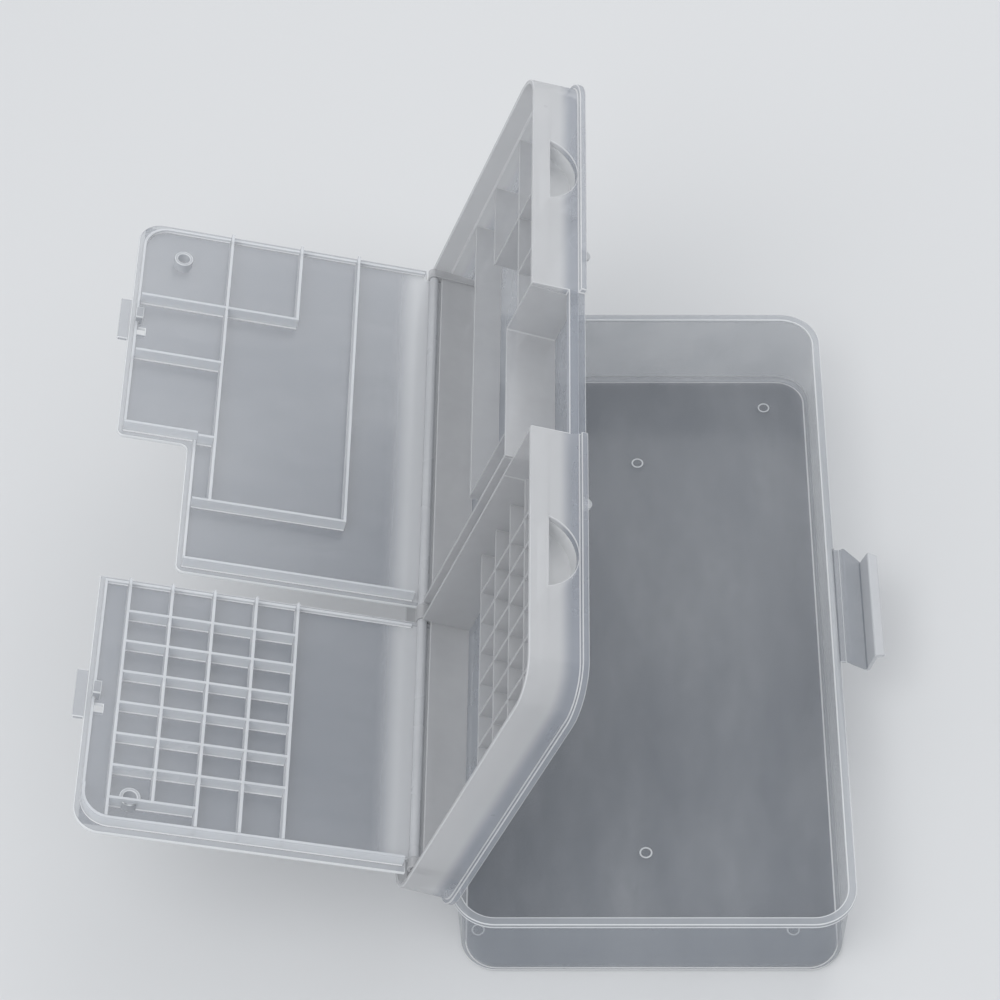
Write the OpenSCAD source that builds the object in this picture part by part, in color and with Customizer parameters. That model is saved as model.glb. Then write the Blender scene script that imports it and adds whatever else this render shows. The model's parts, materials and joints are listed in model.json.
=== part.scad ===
// Two-layer small-parts box with two lids of its own on the upper layer.
// X runs from the hinge side to the latch side, Y along the hinge away from the viewer, Z up.
// The origin is the centre of the lower tray's underside.
// Places inside the trays are given from the near hinge-side corner of the rim: u across, y along,
// and w up from the underside of the upper tray.

/* [Box] */
// Length over the rims, along the hinge
box_l = 272; // [262:1:290]
// Width over the rims, hinge side to latch side
box_w = 136; // [134:0.5:142]
// Outside radius of the four plan corners
corner_r = 15; // [13:0.5:18]
// Thickness of the outside walls
wall_t = 1.5; // [1.2:0.1:1.6]
// Thickness of the tray floors
floor_t = 1.3; // [1:0.1:1.8]
// Thickness of the flat rims
rim_t = 2.3; // [1.8:0.1:2.6]
// Gap between the two rims when the box is shut
seam_gap = 0.2; // [0.1:0.05:0.4]

/* [Lower tray] */
// Height of the lower tray
lower_h = 35.5; // [30:0.5:42]
// How far the lower rim stands out past its wall
lower_rim_over = 1.6; // [1.2:0.1:2.4]
// How far the lower wall leans in from rim to floor
lower_draft = 0.9; // [0.4:0.1:1.8]
// Radius between the lower wall and the underside
base_r = 2; // [1.5:0.25:4]

/* [Upper tray] */
// Height of the upper tray's wall above its underside
upper_h = 18.7; // [17.5:0.1:22]
// How far the upper rim stands out past its wall
upper_rim_over = 1.8; // [1.6:0.1:2.4]
// How far the upper wall leans in from rim to open edge
upper_draft = 0.7; // [0.2:0.1:1]
// Gap between the low walls and the ribs of the shut lids
cell_gap = 2.2; // [0.2:0.1:2.6]
// Step by which the outside wall gets thinner above the cells
ledge_t = 0.4; // [0.2:0.1:0.5]
// Thickness of the low walls between cells
cell_wall_t = 1.1; // [0.8:0.1:1.4]
// Angle by which the upper tray stands open
tray_open = 69.7; // [60:0.1:85]

/* [Main hinge] */
// Distance of the hinge axis outside the rims
axis_out = 2.2; // [2.15:0.05:2.6]
// Radius of the hinge barrels
barrel_r = 1.9; // [1.7:0.05:1.95]
// Radius of the stub pins between the tongues
hinge_pin_r = 0.95; // [0.8:0.05:1.1]
// Running clearance round the stub pins
pin_clear = 0.05; // [0.03:0.01:0.08]
// Number of hinge stations along the box
stations = 3; // [2:1:4]
// Distance of the outer stations from the ends
station_inset = 40; // [35:1:60]
// Length of each clip on the lower rim
clip_l = 14; // [10:1:18]
// Length of each tongue on the upper rim
tongue_l = 5; // [4:0.5:7]
// End gap between clip and tongue
end_gap = 0.4; // [0.3:0.05:0.6]

/* [Lid hinges] */
// Distance of the lid axis from the hinge-side rim edge
lid_axis_u = 21; // [21:0.1:22]
// Depth of the lid axis below the tray's open edge
lid_axis_drop = 0.7; // [0.6:0.05:0.8]
// Radius of the eyes that hold the lid pins
eye_r = 2.2; // [2:0.05:2.3]
// Thickness of the end eyes
eye_t = 3.8; // [2.6:0.1:4]
// Radius of the lid pins
lid_pin_r = 1.1; // [1:0.05:1.2]
// How far the pins reach into the eyes
lid_pin_reach = 2.6; // [2.2:0.1:2.8]
// Radius of the barrel along each lid's back edge
lid_barrel_r = 1.7; // [1.5:0.05:1.8]
// How far the lid runs on behind its axis
lid_tail = 5.3; // [4.5:0.1:5.4]
// Angle by which the lids stand open
lid_open = 96; // [90:1:98]
// Width of the closed spine along the hinge side, from the rim edge
spine_w = 15; // [14:0.1:15]

/* [Lids] */
// Thickness of the lid plates
lid_t = 1.3; // [1:0.1:1.6]
// Height of the plates above the tray's open edge when shut
lid_seat = 0.2; // [0.15:0.05:0.3]
// Lid edge to the rim edge on the latch side
lid_front = 3.5; // [3.3:0.1:4.5]
// Lid edge to the rim edge at the two ends
lid_end = 2.9; // [2.8:0.1:3.5]
// Radius of the lids' outer corners
lid_corner_r = 9; // [6:0.5:9.5]
// Gap between the lips and the tray's outside wall
lip_gap = 1.3; // [0.3:0.1:1.5]
// Margin of plate outside the lips on the lids' inner edges
lip_margin = 1.9; // [1.6:0.1:2.4]
// Thickness of the lips and ribs under the lids
rib_t = 1.1; // [0.9:0.1:1.4]
// Height of the ribs and of the lips that face the near end
rib_h = 5.2; // [4.2:0.1:5.2]
// Height of the other lips
low_lip_h = 1.5; // [1:0.1:3]
// Length of the opening tabs
tab_l = 19; // [14:0.5:24]
// How far the tabs stand out past the lids
tab_out = 3.8; // [3:0.1:5]
// Side of the square hole beside each catch
catch_hole = 3; // [2:0.1:3.5]
// Outside radius of the ring boss under each lid
boss_r = 3.4; // [2.5:0.1:4]
// Height of the ring bosses
boss_h = 4; // [3:0.1:4.4]

/* [Near section] */
// Far edge of the near lid, from the near end
near_lid_y = 104.1; // [102:0.1:105]
// Distance of the first long wall from the latch-side rim edge
near_front_strip = 13.8; // [13.5:0.1:14.5]
// Long-wall spacing in the grid
grid_u = 14.32; // [13.5:0.05:14.5]
// Nearest cross wall of the grid, from the near end
grid_y0 = 13.5; // [13:0.1:14.5]
// Cross-wall spacing in the grid
grid_y = 12.3; // [11.5:0.05:12.35]
// Columns that reach the nearest cross wall
short_cols = 2; // [1:1:3]

/* [Far section] */
// Near edge of the far lid, from the near end
far_lid_y = 110.7; // [110:0.1:112]
// Distance of the long walls from the latch-side rim edge
far_wall_in = [85.4, 63.7, 37.7];
// Distance of the cross walls from the near end
far_wall_y = [139.3, 167.6, 202.6, 229.2];

/* [Latch] */
// Centre of the main latch, from the near end
latch_y = 132.6; // [130:0.1:136]
// Length of the main latch
latch_l = 50; // [40:0.5:52]
// How much the latch narrows at its near end, over its plate and hook
latch_near_taper = 5.6; // [0:0.1:6]
// How much the latch narrows at its far end, over its plate and hook
latch_far_taper = 2; // [0:0.1:6]
// Far end of the latch well, from the near end
well_end_y = 166.3; // [164:0.1:168]
// Depth of the notch in the far lid, from the latch-side rim edge
notch_in = 28.5; // [26:0.1:30]
// Height of the low front wall that the hook grips
grip_h = 5.8; // [5:0.1:5.8]
// Width of the thin strip that carries the latch
strip_w = 1.8; // [1.6:0.1:2.2]
// Thickness of the thin strip
strip_t = 0.6; // [0.4:0.05:0.8]
// Length of the latch plate
plate_l = 10.4; // [10:0.1:11.4]
// Thickness of the latch plate and hook
latch_t = 1.4; // [1.2:0.1:1.5]
// Length of the hook
hook_l = 7.2; // [6.5:0.1:7.4]
// Length of the turned-up bead on the hook
bead_l = 2.6; // [2:0.1:3]
// Angle by which the plate hangs below level
plate_fall = 47.8; // [44:0.1:50]

/* [Thumb scoops] */
// Centre of the near scoop and tab, from the near end
near_tab_y = 55.3; // [50:0.1:60]
// Centre of the far scoop and tab, from the near end
far_tab_y = 220.5; // [216:0.1:225]
// Radius of the scoops
scoop_r = 14; // [11:0.5:14.5]
// Lowest point of the scoops
scoop_w0 = 2.6; // [2.4:0.1:3.5]
// Depth of the scoops behind the wall
scoop_depth = 5.8; // [3.8:0.1:6]
// Top of the scoops' shells
scoop_top = 13.3; // [12:0.1:13.5]
// Thickness of the scoop shells
scoop_t = 0.9; // [0.7:0.1:1.3]

/* [Hidden] */
// Facets of the round pieces
$fn = 64;
// Overlap that joins the halves of one solid
eps = 0.01;
// Columns of small cells and rows of cross walls: NODES names each wall
grid_cols = 4;
grid_rows = 7;
// Plan radius of the walls at the two open edges and at the floors
lower_top_r = corner_r - lower_rim_over;
lower_foot_r = lower_top_r - lower_draft;
upper_foot_r = corner_r - upper_rim_over;
upper_top_r = upper_foot_r - upper_draft;
upper_inner_r = upper_top_r - wall_t;
// Angle of the lower wall
lower_lean = atan(lower_draft / (lower_h - rim_t));
// Main hinge axis
hinge_x = -box_w / 2 - axis_out;
hinge_z = lower_h + seam_gap / 2;
// Lid hinge axis in the upper tray
lid_axis_w = upper_h - lid_axis_drop;
// Underside of the shut lid plates
lid_w = upper_h + lid_seat;
// Top of the low walls, and the step in the outside wall just above them
cell_wall_top = lid_w - rib_h - cell_gap;
ledge_w = cell_wall_top + 0.3;
// Top of the hollow of the scoops
scoop_w1 = scoop_top - scoop_t;
// Outer edges of the lids
lid_u1 = box_w - lid_front;
lid_y0 = lid_end;
lid_y1 = box_l - lid_end;
// Draft of the wall's inner face, and how far the lips' outer faces are from the rim's edge
inner_draft = 0.4;
lip_in = upper_rim_over + upper_draft + wall_t + lip_gap;
lip_u1 = box_w - lip_in;
// Inside of the spine's gutter and the gutter wall's inner face
gutter_u = lid_axis_u + 0.3;
gutter_t = 1.2;
gutter_top = lid_axis_w - eye_r - 0.4;
// Where the wide part of each lid starts
lid_u0 = lid_axis_u + eye_r + 0.4;
// Where the low walls of the cells start
cells_u0 = gutter_u + gutter_t;
// Inner face of the upper tray's walls at the height of the cell walls
wall_in = upper_rim_over + upper_draft + wall_t;
// Walls of the channel between the two sections
section_near_y = near_lid_y + 0.2;
section_far_y = far_lid_y + 0.3;
// Near faces of the eyes
eye_near_y = wall_in;
eye_far_y = box_l - wall_in - eye_t;
post_y0 = near_lid_y + 0.35;
post_y1 = far_lid_y - 0.35;
// Long walls of the near grid
near_wall_u = [for (i = [0:grid_cols]) box_w - near_front_strip - i * grid_u];
near_wall_y = [for (i = [0:grid_rows - 1]) grid_y0 + i * grid_y];
// Long walls of the far section and the notch
far_wall_u = [for (v = far_wall_in) box_w - v];
notch_u = box_w - notch_in;
// Station places
station_y = [for (i = [0:stations - 1])
    station_inset + i * (box_l - 2 * station_inset) / (stations - 1)];
// Back of the thumb scoops
scoop_u0 = box_w - wall_in - scoop_depth - scoop_t;
// Strip place on the lower rim
strip_z = lower_h - 1.3;

// ---------------------------------------------------------------- placing

// From the near hinge-side rim corner of the lower tray, at floor height
module in_lower() {
    translate([-box_w / 2, -box_l / 2, 0]) children();
}

// From the same corner of the upper tray, which stands open about the main hinge
module in_upper() {
    translate([hinge_x, 0, hinge_z])
        rotate([0, -tray_open, 0])
            translate([-hinge_x, 0, -hinge_z])
                translate([-box_w / 2, -box_l / 2, lower_h + seam_gap]) children();
}

// From the same corner again, for what stands open about the lid hinge
module in_lid() {
    in_upper()
        translate([lid_axis_u, 0, lid_axis_w])
            rotate([0, -lid_open, 0])
                translate([-lid_axis_u, 0, -lid_axis_w]) children();
}

// A box between two corners
module block(u0, u1, y0, y1, w0, w1) {
    translate([u0, y0, w0]) cube([u1 - u0, y1 - y0, w1 - w0]);
}

// A round bar along Y
module bar(u, w, r, y0, y1) {
    translate([u, y1, w]) rotate([90, 0, 0]) cylinder(h = y1 - y0, r = r);
}

// ------------------------------------------------------------ tray shells

// Sweeps a profile, drawn outward from the corner centres, round the box
module sweep_round() {
    hx = box_w / 2 - corner_r;
    hy = box_l / 2 - corner_r;
    translate([box_w / 2, box_l / 2, 0]) {
        for (c = [[1, 1, 0], [-1, 1, 90], [-1, -1, 180], [1, -1, 270]])
            translate([c[0] * hx, c[1] * hy, 0])
                rotate(c[2]) rotate_extrude(angle = 90) children();
        for (s = [[0, hx, hy], [90, hy, hx], [180, hx, hy], [270, hy, hx]])
            rotate(s[0])
                translate([s[1], s[2], 0])
                    rotate([90, 0, 0]) linear_extrude(2 * s[2]) children();
    }
}

// The middle of a tray, inside the corner centres
module middle(z0, z1) {
    block(corner_r, box_w - corner_r, corner_r, box_l - corner_r, z0, z1);
}

// Profile of the lower tray's outside or cavity, with a round foot
module foot_profile(foot_r, top_r, z0, z1, fillet) {
    lean = atan((top_r - foot_r) / (z1 - z0));
    cx = foot_r - fillet * (1 - sin(lean)) / cos(lean);
    polygon([[0, z0], [cx, z0], [cx, z0 + fillet],
             [cx + fillet * cos(lean), z0 + fillet * (1 - sin(lean))],
             [top_r, z1], [0, z1]]);
    translate([cx, z0 + fillet])
        intersection() {
            circle(fillet);
            translate([0, -fillet]) square([fillet, fillet]);
        }
}

module lower_profile() {
    difference() {
        union() {
            foot_profile(lower_foot_r, lower_top_r, 0, lower_h - rim_t, base_r);
            translate([0, lower_h - rim_t]) square([corner_r, rim_t]);
        }
        foot_profile(lower_foot_r - wall_t, lower_top_r - wall_t + eps, floor_t,
                     lower_h + eps, max(base_r - floor_t, 0.3));
    }
}

module lower_tray() {
    color([0.72, 0.73, 0.75])
        in_lower() {
            difference() {
                union() {
                    sweep_round() lower_profile();
                    middle(0, floor_t);
                }
                // flat seat for the latch strip in the rim's edge
                block(box_w - 0.8, box_w + 1, latch_y - latch_l / 2 - 0.2,
                      latch_y + latch_l / 2 + 0.2, strip_z - 0.1, lower_h + 1);
            }
        }
}

// Inner face of the upper tray's wall, from the floor to its open edge, with the step above the cells
function upper_inner() = [[upper_inner_r - inner_draft - ledge_t, floor_t],
                          [upper_inner_r - ledge_t, ledge_w], [upper_inner_r, ledge_w]];

module upper_profile() {
    polygon(concat([[0, floor_t], [0, 0], [corner_r, 0], [corner_r, rim_t], [upper_foot_r, rim_t],
                    [upper_top_r, upper_h], [upper_inner_r, upper_h]],
                   [for (i = [2:-1:0]) upper_inner()[i]]));
}

// Space inside the upper tray's walls and straight up from them, between two heights
module upper_cavity(w0, w1) {
    above = upper_h + eye_r * 2;
    intersection() {
        union() {
            sweep_round()
                polygon(concat([[0, floor_t]], upper_inner(), [[upper_inner_r, above], [0, above]]));
            middle(floor_t, above);
        }
        block(0, box_w, 0, box_l, w0, w1);
    }
}

// Half-round outline of a thumb scoop, seen along X
module scoop_outline(grow) {
    intersection() {
        translate([0, scoop_w0 + scoop_r]) circle(scoop_r + grow);
        translate([-scoop_r * 2, scoop_w0 - grow]) square([scoop_r * 4, scoop_w1 - scoop_w0 + 2 * grow]);
    }
}

// A scoop's outline made solid from one u to another
module scoop_solid(y, grow, u0, u1) {
    translate([u0, y, 0])
        rotate([90, 0, 90]) linear_extrude(u1 - u0) scoop_outline(grow);
}

module upper_tray() {
    color([0.80, 0.80, 0.80])
        in_upper()
            difference() {
                union() {
                    sweep_round() upper_profile();
                    middle(0, floor_t);
                }
                // the wall is low along the latch well, and the rim is cut back there
                block(box_w - wall_in - 1, box_w + 1, section_near_y, well_end_y - 0.3,
                      grip_h, upper_h + 1);
                block(box_w - upper_rim_over, box_w + 1, section_near_y, well_end_y - 0.3, -1, rim_t + 1);
                // the spine is hollow and open underneath
                block(wall_in + 1.5, spine_w - wall_t, corner_r, box_l - corner_r, -1, floor_t + 1);
                for (y = [near_tab_y, far_tab_y])
                    scoop_solid(y, 0, box_w - wall_in - 1, box_w - upper_rim_over + 0.001);
            }
}

// --------------------------------------------------------- upper tray, inside

// Closed channel along the hinge side
module hinge_spine() {
    color([0.74, 0.75, 0.77])
        in_upper()
            intersection() {
                upper_cavity(floor_t, upper_h);
                union() {
                    block(0, spine_w, 0, box_l, upper_h - floor_t, upper_h);
                    block(spine_w - wall_t, spine_w, 0, box_l, floor_t, upper_h);
                }
            }
}

// Low wall between the lid gutter and the cells
module gutter_wall() {
    color([0.74, 0.75, 0.77])
        in_upper()
            intersection() {
                upper_cavity(floor_t, gutter_top);
                gutter_wall_blocks();
            }
}

// The gutter wall's two runs, up to the eye between the lids
module gutter_wall_blocks() {
    block(gutter_u, cells_u0, 0, post_y0, 0, gutter_top);
    block(gutter_u, cells_u0, post_y1, box_l, 0, gutter_top);
}

// One eye: a post with a round top and a bore for the lid pins
module eye(y0, y1) {
    difference() {
        union() {
            block(lid_axis_u - eye_r, lid_axis_u + eye_r, y0, y1, floor_t, lid_axis_w);
            bar(lid_axis_u, lid_axis_w, eye_r, y0, y1);
        }
        bar(lid_axis_u, lid_axis_w, lid_pin_r + pin_clear, y0 - 1, y1 + 1);
    }
}

module lid_hinge_eyes() {
    color([0.78, 0.78, 0.79])
        in_upper()
            intersection() {
                upper_cavity(floor_t, lid_axis_w + eye_r);
                difference() {
                    union() {
                        eye(eye_near_y, eye_near_y + eye_t);
                        eye(eye_far_y, eye_far_y + eye_t);
                        eye(post_y0, post_y1);
                    }
                    // the gutter wall runs past the end eyes
                    gutter_wall_blocks();
                }
            }
}

// A tall wall across the tray, cut back beside the lid barrel
module section_wall(y0) {
    color([0.76, 0.77, 0.78])
        in_upper() {
            block(cells_u0, notch_u, y0, y0 + cell_wall_t, floor_t, gutter_top);
            block(lid_axis_u + lid_barrel_r + 0.3, notch_u, y0, y0 + cell_wall_t, floor_t, upper_h);
        }
}

// The three tall walls round the latch well
module latch_well_walls() {
    color([0.76, 0.77, 0.78])
        in_upper()
            intersection() {
                upper_cavity(floor_t, upper_h);
                union() {
                    block(notch_u, box_w, section_near_y - cell_wall_t, section_near_y, 0, upper_h);
                    block(notch_u, notch_u + cell_wall_t, section_far_y, well_end_y - 0.3 + cell_wall_t,
                          0, upper_h);
                    block(notch_u, box_w, well_end_y - 0.3, well_end_y - 0.3 + cell_wall_t, 0, upper_h);
                }
            }
}

module thumb_scoop(y) {
    color([0.78, 0.78, 0.79])
        in_upper()
            difference() {
                intersection() {
                    upper_cavity(floor_t, upper_h);
                    scoop_solid(y, scoop_t, scoop_u0, box_w);
                }
                scoop_solid(y, 0, scoop_u0 + scoop_t, box_w);
            }
}

// A low wall along the box
module long_wall(u, y0, y1) {
    color([0.74, 0.75, 0.77])
        in_upper()
            intersection() {
                upper_cavity(floor_t, cell_wall_top);
                block(u - cell_wall_t / 2, u + cell_wall_t / 2, y0, y1, 0, upper_h);
            }
}

// A low wall across the box, in pieces between the long walls
module cross_wall(y, edges) {
    color([0.74, 0.75, 0.77])
        in_upper()
            for (i = [0:len(edges) - 2])
                block(edges[i] + cell_wall_t / 2, edges[i + 1] - cell_wall_t / 2,
                      y - cell_wall_t / 2, y + cell_wall_t / 2, floor_t, cell_wall_top);
}

// Long wall of the near section, the first one nearest the latch side
module near_long_wall(i) {
    y0 = i == 1 ? grid_y0 + cell_wall_t / 2 : 0;
    long_wall(near_wall_u[i], y0, section_near_y - cell_wall_t);
}

// Cross wall of the near section, the first one nearest the far lid
module near_cross_wall(i) {
    last = i == grid_rows - 1;
    cols = last ? short_cols : grid_cols;
    edges = [for (k = [cols:-1:0]) near_wall_u[k]];
    y = near_wall_y[grid_rows - 1 - i];
    if (last) {
        // the nearest cross wall runs under the second long wall's end in one piece
        cross_wall(y, [edges[0], edges[len(edges) - 1]]);
    } else {
        cross_wall(y, edges);
    }
}

module far_long_wall(i) {
    y0 = i == 1 ? far_wall_y[3] : far_wall_y[0];
    long_wall(far_wall_u[i], y0 + cell_wall_t / 2, box_l);
}

// Cross walls of the far section: the nearest runs unbroken under the long walls' ends
module far_cross_wall(i) {
    left = [far_wall_u[0] - cell_wall_t, far_wall_u[2], far_wall_u[2], far_wall_u[1]];
    right = [notch_u, notch_u, box_w, scoop_u0];
    color([0.74, 0.75, 0.77])
        in_upper()
            intersection() {
                upper_cavity(floor_t, cell_wall_top);
                difference() {
                    block(left[i] + cell_wall_t / 2, right[i], far_wall_y[i] - cell_wall_t / 2,
                          far_wall_y[i] + cell_wall_t / 2, 0, upper_h);
                    // a long wall passes through
                    if (i == 3)
                        block(far_wall_u[2] - cell_wall_t / 2, far_wall_u[2] + cell_wall_t / 2,
                              0, box_l, 0, upper_h);
                }
            }
}

// ------------------------------------------------------------ main hinge

module lower_hinge_clips() {
    color([0.76, 0.76, 0.78])
        in_lower()
            for (y = station_y)
                difference() {
                    union() {
                        bar(-axis_out, hinge_z, barrel_r, y - clip_l / 2, y + clip_l / 2);
                        block(-axis_out, 0, y - clip_l / 2, y + clip_l / 2,
                              hinge_z - barrel_r, lower_h - 0.3);
                    }
                    bar(-axis_out, hinge_z, hinge_pin_r + pin_clear, y - clip_l, y + clip_l);
                    // snap mouth, open towards the outside and down
                    translate([-axis_out, y, hinge_z])
                        rotate([0, -20, 0])
                            translate([-barrel_r * 2, -clip_l, -hinge_pin_r * 0.8])
                                cube([barrel_r * 2, clip_l * 2, hinge_pin_r * 1.6]);
                }
}

module upper_hinge_tongues() {
    axis_w = hinge_z - lower_h - seam_gap;
    reach = clip_l / 2 + end_gap;
    color([0.80, 0.80, 0.80])
        in_upper()
            for (y = station_y) {
                for (side = [-1, 1])
                    translate([0, y + side * (reach + tongue_l / 2), 0]) {
                        bar(-axis_out, axis_w, barrel_r, -tongue_l / 2, tongue_l / 2);
                        block(-axis_out, 0, -tongue_l / 2, tongue_l / 2, 0.3, rim_t - 0.4);
                    }
                bar(-axis_out, axis_w, hinge_pin_r, y - reach - 0.5, y + reach + 0.5);
            }
}

// ------------------------------------------------------------ main latch

// Thin strip beside the rim that the latch bends about
module latch_strip() {
    color([0.80, 0.80, 0.80])
        in_lower()
            block(box_w - 0.8, box_w + strip_w, latch_y - latch_l / 2, latch_y + latch_l / 2,
                  strip_z, strip_z + strip_t);
}

// Places a latch piece: from the bend, at the strip's top edge
module at_bend() {
    in_lower()
        translate([box_w + strip_w, latch_y, strip_z + strip_t]) children();
}

// A flat arm of the latch in its own plane, from a point and at an angle, with a round end
module arm(from, angle, len) {
    translate(from)
        rotate(angle) {
            translate([0, -latch_t / 2]) square([len, latch_t]);
            translate([len, 0]) circle(latch_t / 2);
        }
}

// Corner points of the latch's section, from the bend
function polar(r, a) = [r * cos(a), r * sin(a)];
root_p = [strip_w - 0.3, -0.1];
knee_p = root_p + polar(plate_l, -plate_fall);
hook_angle = 71;
hook_p = knee_p + polar(hook_l, hook_angle);
bead_angle = -23;

// Draws a latch section along the latch's length
module latch_bar() {
    at_bend()
        rotate([90, 0, 0])
            translate([0, 0, -latch_l / 2]) linear_extrude(latch_l) children();
}

// Plan of the latch, which narrows from its root to its tip
module latch_plan() {
    half = latch_l / 2;
    reach = plate_l + hook_l;
    at_bend()
        translate([0, 0, -reach])
            linear_extrude(2 * reach)
                polygon([[-1, -half], [strip_w, -half], [reach, latch_near_taper - half],
                         [reach, half - latch_far_taper], [strip_w, half], [-1, half]]);
}

module latch_plate() {
    color([0.80, 0.80, 0.80])
        intersection() {
            latch_bar() {
                // the root's underside slopes away from the bend, to let the plate swing
                intersection() {
                    translate([0, -strip_t]) square([strip_w, strip_t]);
                    polygon([[0, 0], [strip_w * 2, 0], [strip_w * 2, -strip_w * 2]]);
                }
                arm(root_p, -plate_fall, plate_l - latch_t);
                translate(root_p) circle(latch_t / 2);
            }
            latch_plan();
        }
}

module latch_hook() {
    color([0.86, 0.86, 0.86])
        intersection() {
            latch_bar()
                difference() {
                    union() {
                        arm(knee_p, hook_angle, hook_l);
                        translate(knee_p) circle(latch_t / 2);
                        arm(hook_p, bead_angle, bead_l);
                    }
                    arm(root_p, -plate_fall, plate_l - latch_t);
                }
            latch_plan();
        }
}

// ------------------------------------------------------------------- lids

// Plan outline of the near lid between its wide edges, drawn in by some amount
module near_lid_outline(inset) {
    u1 = lid_u1 - inset;
    y0 = lid_y0 + inset;
    y1 = near_lid_y - inset;
    r = lid_corner_r - inset;
    difference() {
        translate([lid_u0, y0]) square([u1 - lid_u0, y1 - y0]);
        corner_cut(u1, y0, r, 1, 1);
    }
}

// Plan outline of the far lid, with its notch, drawn in by some amount
module far_lid_outline(inset) {
    u1 = lid_u1 - inset;
    y0 = far_lid_y + inset;
    y1 = lid_y1 - inset;
    notch = notch_u - inset;
    well = well_end_y + inset;
    difference() {
        translate([lid_u0, y0]) square([u1 - lid_u0, y1 - y0]);
        translate([notch, y0 - 1]) square([u1 - notch + 1, well - y0 + 1]);
        corner_cut(u1, y1, lid_corner_r - inset, 1, -1);
        corner_cut(u1, well, 2.5, 1, 1);
        corner_cut(notch, y0, 3, 1, 1);
    }
    // concave corner of the notch
    translate([notch - eps, well + eps])
        difference() {
            translate([0, -2.5]) square([2.5, 2.5]);
            translate([2.5, -2.5]) circle(2.5);
        }
}

// Takes the square tip off a corner at (u, y); the tip lies on the +u side
module corner_cut(u, y, r, su, sy) {
    translate([u, y])
        scale([su, sy, 1])
            difference() {
                translate([-r, -1]) square([r + 1, r + 1]);
                translate([-r, r]) circle(r);
            }
}

// Narrow tail of a lid between its eyes, back from the wide part
module lid_tail_plate(y0, y1) {
    translate([lid_axis_u - lid_tail, y0]) square([lid_u0 - lid_axis_u + lid_tail + eps, y1 - y0]);
}

// Ends of the tails
near_tail = [eye_near_y + eye_t + 0.3, near_lid_y];
far_tail = [far_lid_y, eye_far_y - 0.3];

// Square hole beside a lid's catch
module catch_hole_at(y) {
    translate([lip_u1 - rib_t - catch_hole, y - tab_l / 2 + 3]) square([catch_hole, catch_hole]);
}

module near_lid() {
    color([0.55, 0.58, 0.62])
        in_lid()
            translate([0, 0, lid_w])
                linear_extrude(lid_t)
                    difference() {
                        union() {
                            near_lid_outline(0);
                            lid_tail_plate(near_tail[0], near_tail[1]);
                        }
                        catch_hole_at(near_tab_y);
                    }
}

module far_lid() {
    color([0.55, 0.58, 0.62])
        in_lid()
            translate([0, 0, lid_w])
                linear_extrude(lid_t)
                    difference() {
                        union() {
                            far_lid_outline(0);
                            lid_tail_plate(far_tail[0], far_tail[1]);
                        }
                        catch_hole_at(far_tab_y);
                    }
}

// Outline of the near lid's lips, drawn in by some amount; it is open on the hinge side
module near_lip_outline(inset) {
    u1 = lip_u1 - inset;
    y0 = lip_in + inset;
    difference() {
        translate([0, y0]) square([u1, near_lid_y - lip_margin - inset - y0]);
        corner_cut(u1, y0, corner_r - lip_in - inset, 1, 1);
    }
}

// Outline of the far lid's lips, drawn in by some amount; it is open on the hinge side
module far_lip_outline(inset) {
    u1 = lip_u1 - inset;
    y0 = far_lid_y + lip_margin + inset;
    y1 = box_l - lip_in - inset;
    notch = notch_u - lip_margin - inset;
    well = well_end_y + lip_margin + inset;
    difference() {
        translate([0, y0]) square([u1, y1 - y0]);
        translate([notch, y0 - 1]) square([u1 - notch + 1, well - y0 + 1]);
        corner_cut(u1, y1, corner_r - lip_in - inset, 1, -1);
    }
}

// Lips of a lid between two outlines: tall in the given spans along Y, low elsewhere
module lid_lip(tall_spans) {
    start_u = lid_u0 + 1;
    color([0.76, 0.77, 0.78])
        in_lid()
            for (span = concat([[0, box_l, low_lip_h]], tall_spans))
                intersection() {
                    translate([0, 0, lid_w - rib_h])
                        linear_extrude(rib_h)
                            difference() {
                                children(0);
                                children(1);
                            }
                    block(start_u, box_w, span[0], span[1], lid_w - span[2], lid_w);
                }
}

module near_lid_lip() {
    lid_lip([[0, corner_r + 3, rib_h]]) {
        near_lip_outline(0);
        near_lip_outline(rib_t);
    }
}

module far_lid_lip() {
    first = far_lid_y + lip_margin + rib_t;
    second = well_end_y + lip_margin + rib_t;
    lid_lip([[0, first, rib_h], [second - rib_t, second, rib_h]]) {
        far_lip_outline(0);
        far_lip_outline(rib_t);
    }
}

// A rib under a lid
module rib(u0, u1, y0, y1) {
    block(u0, u1, y0, y1, lid_w - rib_h, lid_w);
}

module near_lid_ribs() {
    half = rib_t / 2;
    front = near_lid_y - lip_margin - rib_t;
    color([0.76, 0.77, 0.78])
        in_lid()
            intersection() {
                union() {
                    for (i = [0:grid_cols]) {
                        u = near_wall_u[i];
                        rib(u - half, u + half, i == 1 ? grid_y0 : 0, front);
                    }
                    for (k = [0:grid_rows - 1]) {
                        y = near_wall_y[k];
                        rib(near_wall_u[k == 0 ? short_cols : grid_cols], near_wall_u[0],
                            y - half, y + half);
                    }
                }
                translate([0, 0, lid_w - rib_h]) linear_extrude(rib_h) near_lip_outline(rib_t);
            }
}

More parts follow.
